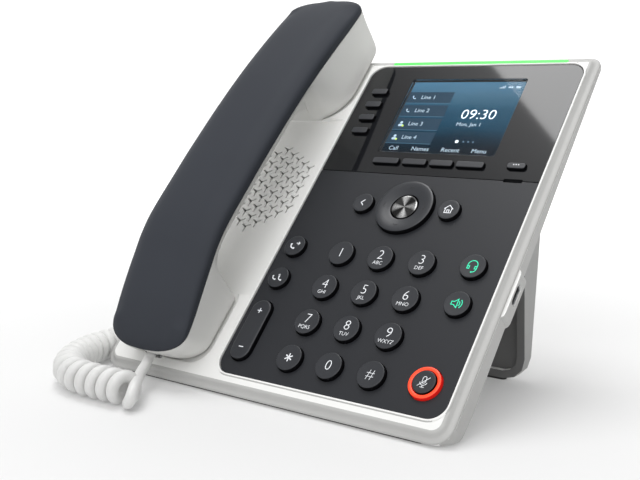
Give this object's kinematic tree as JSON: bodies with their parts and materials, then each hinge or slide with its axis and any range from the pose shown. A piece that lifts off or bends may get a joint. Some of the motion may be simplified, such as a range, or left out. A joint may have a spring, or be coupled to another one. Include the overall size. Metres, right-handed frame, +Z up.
{
  "type": "desk ip phone",
  "caption": "Desk IP telephone with a corded handset in its cradle, colour screen, keypad, navigation ring and a pull-off rear stand.",
  "frame": {"origin": "on the desk top, under the middle of the phone's box without its cord", "axes": "+X to the right as the user sees it (the widest way), +Y to the back, +Z up; the face leans back 46.9 degrees from flat"},
  "size_m": [0.1977, 0.1768, 0.1712],
  "materials": {
    "white_case": "fine matt moulded plastic, warm white",
    "grey_case": "fine matt moulded plastic, light grey",
    "gloss_black": "piano black, polished",
    "charcoal_panel": "matt charcoal, very fine texture",
    "slate_handset": "satin slate, fine texture",
    "key_cap": "satin charcoal key cap with pale printed symbols",
    "metal_key": "spun, radial brushed",
    "clear_lens": "clear, polished",
    "screen": "lit colour display",
    "green_light": "translucent light bar, lit green",
    "red_light": "translucent ring, red",
    "silicone": "matt silicone",
    "circuit_board": "green solder mask",
    "black_plastic": "matt black",
    "plated_steel": "tin plated, satin",
    "rubber_foot": "matt rubber",
    "clear_plug": "clear polycarbonate",
    "cord_jacket": "soft satin cord jacket, pale grey"
  },
  "bodies": {
    "phone": {"front_housing": "white_case", "rear_housing": "white_case", "display_bezel": "gloss_black", "display_window": "clear_lens", "lcd_module": "screen", "keypad_panel": "charcoal_panel", "light_bar": "green_light", "mute_ring": "red_light", "key_mat": "silicone", "main_board": "circuit_board", "loudspeaker": "black_plastic", "usb_c_port": "plated_steel", "ethernet_jack": "plated_steel", "headset_jack": "black_plastic", "handset_cord_jack": "black_plastic", "front_foot": "rubber_foot", "base_plug": "clear_plug", "cord_lead": "cord_jacket", "cord_coil": "cord_jacket", "cord_tail": "cord_jacket"},
    "handset": {"handset_top_shell": "slate_handset", "handset_bottom_shell": "grey_case", "handset_receiver": "black_plastic", "handset_microphone": "plated_steel", "handset_plug": "clear_plug"},
    "hook_switch": {"hook_switch": "grey_case"},
    "stand": {"stand": "white_case", "stand_foot": "rubber_foot"},
    "nav_carrier": {"nav_carrier": "silicone"},
    "nav_ring": {"nav_ring": "key_cap"},
    "volume_rocker": {"volume_rocker": "key_cap"},
    "key_1": {"key_1": "key_cap"},
    "key_2": {"key_2": "key_cap"},
    "key_3": {"key_3": "key_cap"},
    "key_4": {"key_4": "key_cap"},
    "key_5": {"key_5": "key_cap"},
    "key_6": {"key_6": "key_cap"},
    "key_7": {"key_7": "key_cap"},
    "key_8": {"key_8": "key_cap"},
    "key_9": {"key_9": "key_cap"},
    "key_star": {"key_star": "key_cap"},
    "key_0": {"key_0": "key_cap"},
    "key_hash": {"key_hash": "key_cap"},
    "back_key": {"back_key": "key_cap"},
    "home_key": {"home_key": "key_cap"},
    "transfer_key": {"transfer_key": "key_cap"},
    "conference_key": {"conference_key": "key_cap"},
    "headset_key": {"headset_key": "key_cap"},
    "speaker_key": {"speaker_key": "key_cap"},
    "mute_key": {"mute_key": "key_cap"},
    "select_key": {"select_key": "metal_key"},
    "line_key_1": {"line_key_1": "key_cap"},
    "line_key_2": {"line_key_2": "key_cap"},
    "line_key_3": {"line_key_3": "key_cap"},
    "line_key_4": {"line_key_4": "key_cap"},
    "soft_key_1": {"soft_key_1": "key_cap"},
    "soft_key_2": {"soft_key_2": "key_cap"},
    "soft_key_3": {"soft_key_3": "key_cap"},
    "soft_key_4": {"soft_key_4": "key_cap"},
    "more_key": {"more_key": "key_cap"}
  },
  "joints": [
    {"name": "handset_lift", "type": "slide", "parent": "phone", "child": "handset", "axis": [0, -0.7302, 0.6833], "range_m": [0, 0.06]},
    {"name": "hook_switch_rise", "type": "slide", "parent": "phone", "child": "hook_switch", "axis": [0, -0.7302, 0.6833], "range_m": [0, 0.003]},
    {"name": "stand_pull_off", "type": "slide", "parent": "phone", "child": "stand", "axis": [0, 0.7302, -0.6833], "range_m": [0, 0.015]},
    {"name": "nav_left_right", "type": "hinge", "parent": "phone", "child": "nav_carrier", "pos_m": [0.02965, 0.00627, 0.07342], "axis": [0, 0.6833, 0.7302], "range_deg": [-1.8, 1.8], "stiffness_Nm_per_rad": 0.4},
    {"name": "nav_up_down", "type": "hinge", "parent": "nav_carrier", "child": "nav_ring", "pos_m": [0.02965, 0.00627, 0.07342], "axis": [1, 0, 0], "range_deg": [-1.8, 1.8], "stiffness_Nm_per_rad": 0.4},
    {"name": "volume_rocker_tilt", "type": "hinge", "parent": "phone", "child": "volume_rocker", "pos_m": [-0.01625, -0.04199, 0.02258], "axis": [1, 0, 0], "range_deg": [-2, 2], "stiffness_Nm_per_rad": 0.4},
    {"name": "key_1_press", "type": "slide", "parent": "phone", "child": "key_1", "axis": [0, 0.7302, -0.6833], "range_m": [0, 0.001], "stiffness_N_per_m": 400},
    {"name": "key_2_press", "type": "slide", "parent": "phone", "child": "key_2", "axis": [0, 0.7302, -0.6833], "range_m": [0, 0.001], "stiffness_N_per_m": 400},
    {"name": "key_3_press", "type": "slide", "parent": "phone", "child": "key_3", "axis": [0, 0.7302, -0.6833], "range_m": [0, 0.001], "stiffness_N_per_m": 400},
    {"name": "key_4_press", "type": "slide", "parent": "phone", "child": "key_4", "axis": [0, 0.7302, -0.6833], "range_m": [0, 0.001], "stiffness_N_per_m": 400},
    {"name": "key_5_press", "type": "slide", "parent": "phone", "child": "key_5", "axis": [0, 0.7302, -0.6833], "range_m": [0, 0.001], "stiffness_N_per_m": 400},
    {"name": "key_6_press", "type": "slide", "parent": "phone", "child": "key_6", "axis": [0, 0.7302, -0.6833], "range_m": [0, 0.001], "stiffness_N_per_m": 400},
    {"name": "key_7_press", "type": "slide", "parent": "phone", "child": "key_7", "axis": [0, 0.7302, -0.6833], "range_m": [0, 0.001], "stiffness_N_per_m": 400},
    {"name": "key_8_press", "type": "slide", "parent": "phone", "child": "key_8", "axis": [0, 0.7302, -0.6833], "range_m": [0, 0.001], "stiffness_N_per_m": 400},
    {"name": "key_9_press", "type": "slide", "parent": "phone", "child": "key_9", "axis": [0, 0.7302, -0.6833], "range_m": [0, 0.001], "stiffness_N_per_m": 400},
    {"name": "key_star_press", "type": "slide", "parent": "phone", "child": "key_star", "axis": [0, 0.7302, -0.6833], "range_m": [0, 0.001], "stiffness_N_per_m": 400},
    {"name": "key_0_press", "type": "slide", "parent": "phone", "child": "key_0", "axis": [0, 0.7302, -0.6833], "range_m": [0, 0.001], "stiffness_N_per_m": 400},
    {"name": "key_hash_press", "type": "slide", "parent": "phone", "child": "key_hash", "axis": [0, 0.7302, -0.6833], "range_m": [0, 0.001], "stiffness_N_per_m": 400},
    {"name": "back_key_press", "type": "slide", "parent": "phone", "child": "back_key", "axis": [0, 0.7302, -0.6833], "range_m": [0, 0.001], "stiffness_N_per_m": 400},
    {"name": "home_key_press", "type": "slide", "parent": "phone", "child": "home_key", "axis": [0, 0.7302, -0.6833], "range_m": [0, 0.001], "stiffness_N_per_m": 400},
    {"name": "transfer_key_press", "type": "slide", "parent": "phone", "child": "transfer_key", "axis": [0, 0.7302, -0.6833], "range_m": [0, 0.001], "stiffness_N_per_m": 400},
    {"name": "conference_key_press", "type": "slide", "parent": "phone", "child": "conference_key", "axis": [0, 0.7302, -0.6833], "range_m": [0, 0.001], "stiffness_N_per_m": 400},
    {"name": "headset_key_press", "type": "slide", "parent": "phone", "child": "headset_key", "axis": [0, 0.7302, -0.6833], "range_m": [0, 0.001], "stiffness_N_per_m": 400},
    {"name": "speaker_key_press", "type": "slide", "parent": "phone", "child": "speaker_key", "axis": [0, 0.7302, -0.6833], "range_m": [0, 0.001], "stiffness_N_per_m": 400},
    {"name": "mute_key_press", "type": "slide", "parent": "phone", "child": "mute_key", "axis": [0, 0.7302, -0.6833], "range_m": [0, 0.001], "stiffness_N_per_m": 400},
    {"name": "select_key_press", "type": "slide", "parent": "phone", "child": "select_key", "axis": [0, 0.7302, -0.6833], "range_m": [0, 0.0008], "stiffness_N_per_m": 400},
    {"name": "line_key_1_press", "type": "slide", "parent": "phone", "child": "line_key_1", "axis": [0, 0.7302, -0.6833], "range_m": [0, 0.001], "stiffness_N_per_m": 400},
    {"name": "line_key_2_press", "type": "slide", "parent": "phone", "child": "line_key_2", "axis": [0, 0.7302, -0.6833], "range_m": [0, 0.001], "stiffness_N_per_m": 400},
    {"name": "line_key_3_press", "type": "slide", "parent": "phone", "child": "line_key_3", "axis": [0, 0.7302, -0.6833], "range_m": [0, 0.001], "stiffness_N_per_m": 400},
    {"name": "line_key_4_press", "type": "slide", "parent": "phone", "child": "line_key_4", "axis": [0, 0.7302, -0.6833], "range_m": [0, 0.001], "stiffness_N_per_m": 400},
    {"name": "soft_key_1_press", "type": "slide", "parent": "phone", "child": "soft_key_1", "axis": [0, 0.7302, -0.6833], "range_m": [0, 0.001], "stiffness_N_per_m": 400},
    {"name": "soft_key_2_press", "type": "slide", "parent": "phone", "child": "soft_key_2", "axis": [0, 0.7302, -0.6833], "range_m": [0, 0.001], "stiffness_N_per_m": 400},
    {"name": "soft_key_3_press", "type": "slide", "parent": "phone", "child": "soft_key_3", "axis": [0, 0.7302, -0.6833], "range_m": [0, 0.001], "stiffness_N_per_m": 400},
    {"name": "soft_key_4_press", "type": "slide", "parent": "phone", "child": "soft_key_4", "axis": [0, 0.7302, -0.6833], "range_m": [0, 0.001], "stiffness_N_per_m": 400},
    {"name": "more_key_press", "type": "slide", "parent": "phone", "child": "more_key", "axis": [0, 0.7302, -0.6833], "range_m": [0, 0.001], "stiffness_N_per_m": 400}
  ],
  "couplings": [
    {"joint": "hook_switch_rise", "follows": "handset_lift", "ratio": 0.05}
  ]
}
